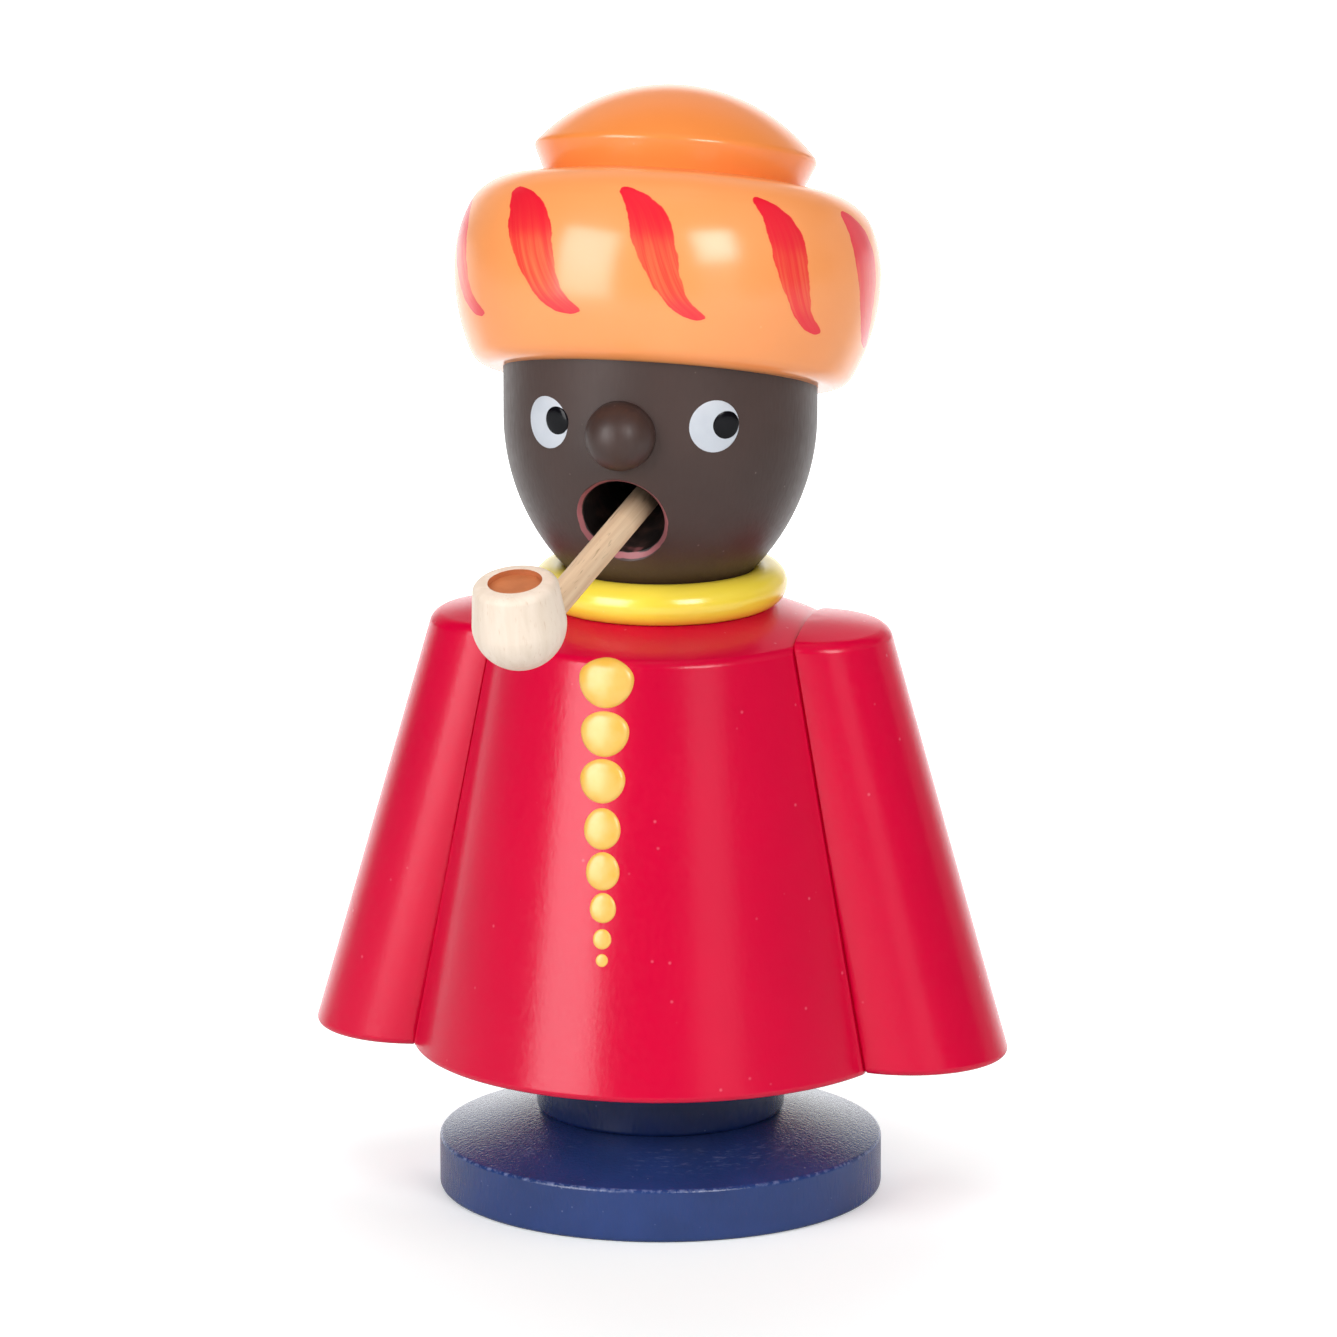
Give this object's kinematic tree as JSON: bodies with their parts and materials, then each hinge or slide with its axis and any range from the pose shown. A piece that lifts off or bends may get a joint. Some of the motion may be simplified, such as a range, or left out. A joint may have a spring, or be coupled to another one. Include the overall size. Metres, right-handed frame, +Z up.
{
  "type": "incense smoker",
  "caption": "Turned wooden incense smoker: a robed, turbaned figure with a pipe that lifts off a round base, so that a cone on a metal dish smokes through its mouth.",
  "frame": {"origin": "centre of the flat underside of the base", "axes": "+Z up along the turning axis, the figure looks along -Y, its left sleeve is at +X"},
  "size_m": [0.1022, 0.1048, 0.1609],
  "materials": {
    "blue_paint": "dark blue paint, satin, worn at the edge",
    "red_paint": "crimson paint, satin",
    "yellow_paint": "yellow paint, gloss",
    "brown_stain": "dark brown stain, matt",
    "orange_paint": "orange paint, satin, with red brush strokes",
    "bowl_wood": "bare pale maple, fine sanded",
    "stem_wood": "bare beech rod",
    "dowel_wood": "bare beech dowel",
    "dish_steel": "pressed tinplate, dull",
    "brad_brass": "brass plated, plain"
  },
  "bodies": {
    "base": {"base_disc": "blue_paint", "base_hub": "blue_paint", "hub_dowel": "dowel_wood", "incense_plate": "dish_steel", "plate_brads": "brad_brass"},
    "figure": {"torso": "red_paint", "left_sleeve": "red_paint", "right_sleeve": "red_paint", "sleeve_dowels": "dowel_wood", "collar_ring": "yellow_paint", "head": "brown_stain", "nose": "brown_stain", "turban": "orange_paint", "turban_crown": "orange_paint", "hat_dowel": "dowel_wood"},
    "pipe": {"pipe_stem": "stem_wood", "pipe_bowl": "bowl_wood"}
  },
  "joints": [
    {"name": "figure_lift", "type": "slide", "parent": "base", "child": "figure", "axis": [0, 0, 1], "range_m": [0, 0.045]},
    {"name": "pipe_pull", "type": "slide", "parent": "figure", "child": "pipe", "axis": [-0.1401, -0.9601, -0.2419], "range_m": [0, 0.028]}
  ]
}
